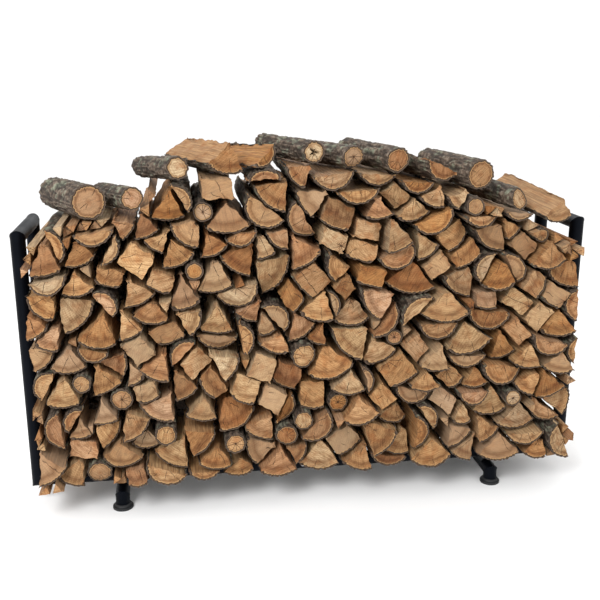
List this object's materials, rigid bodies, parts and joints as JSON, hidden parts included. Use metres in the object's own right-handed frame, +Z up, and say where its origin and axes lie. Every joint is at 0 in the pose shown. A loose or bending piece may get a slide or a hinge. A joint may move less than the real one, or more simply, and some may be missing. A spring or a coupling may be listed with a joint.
{
  "type": "firewood log rack",
  "caption": "Free-standing firewood rack of mitred round tube on two cross-legs with flared feet, heaped with split logs that lift off.",
  "frame": {"origin": "on the floor under the middle of the loaded rack", "axes": "+X along the rack to the right, +Y from the front to the rear, +Z up"},
  "size_m": [2.438, 0.714, 1.5747],
  "materials": {
    "powder_coat": "black satin powder coat on steel tube",
    "foot_rubber": "matt black moulded rubber",
    "saddle_plastic": "black moulded plastic",
    "zinc_hardware": "bright zinc plate",
    "bare_steel": "bare drawn steel tube",
    "firewood": "split hardwood with sawn ends and rough bark"
  },
  "bodies": {
    "rack": {"front_rail_left": "powder_coat", "front_rail_right": "powder_coat", "front_splice_sleeve": "bare_steel", "left_cross_tube": "powder_coat", "left_front_foot": "foot_rubber", "left_front_leg": "powder_coat", "left_front_upright": "powder_coat", "left_rear_foot": "foot_rubber", "left_rear_leg": "powder_coat", "left_rear_upright": "powder_coat", "left_top_rail": "powder_coat", "leg_bolts": "zinc_hardware", "leg_washers": "zinc_hardware", "rail_nuts": "zinc_hardware", "rail_saddles": "saddle_plastic", "rear_rail_left": "powder_coat", "rear_rail_right": "powder_coat", "rear_splice_sleeve": "bare_steel", "right_cross_tube": "powder_coat", "right_front_foot": "foot_rubber", "right_front_leg": "powder_coat", "right_front_upright": "powder_coat", "right_rear_foot": "foot_rubber", "right_rear_leg": "powder_coat", "right_rear_upright": "powder_coat", "right_top_rail": "powder_coat", "splice_bolts": "zinc_hardware", "splice_nuts": "zinc_hardware", "splice_washers": "zinc_hardware"},
    "firewood_stack": {"firewood_course_01": "firewood", "firewood_course_02": "firewood", "firewood_course_03": "firewood", "firewood_course_04": "firewood", "firewood_course_05": "firewood", "firewood_course_06": "firewood", "firewood_course_07": "firewood", "firewood_course_08": "firewood", "firewood_course_09": "firewood", "firewood_course_10": "firewood", "firewood_course_11": "firewood", "firewood_course_12": "firewood", "firewood_course_13": "firewood"},
    "top_logs": {"top_logs": "firewood"}
  },
  "joints": [
    {"name": "load_lift", "type": "slide", "parent": "rack", "child": "firewood_stack", "axis": [0, 0, 1], "range_m": [0, 1.12]},
    {"name": "top_logs_lift", "type": "slide", "parent": "firewood_stack", "child": "top_logs", "axis": [0, 0, 1], "range_m": [0, 0.4]}
  ]
}
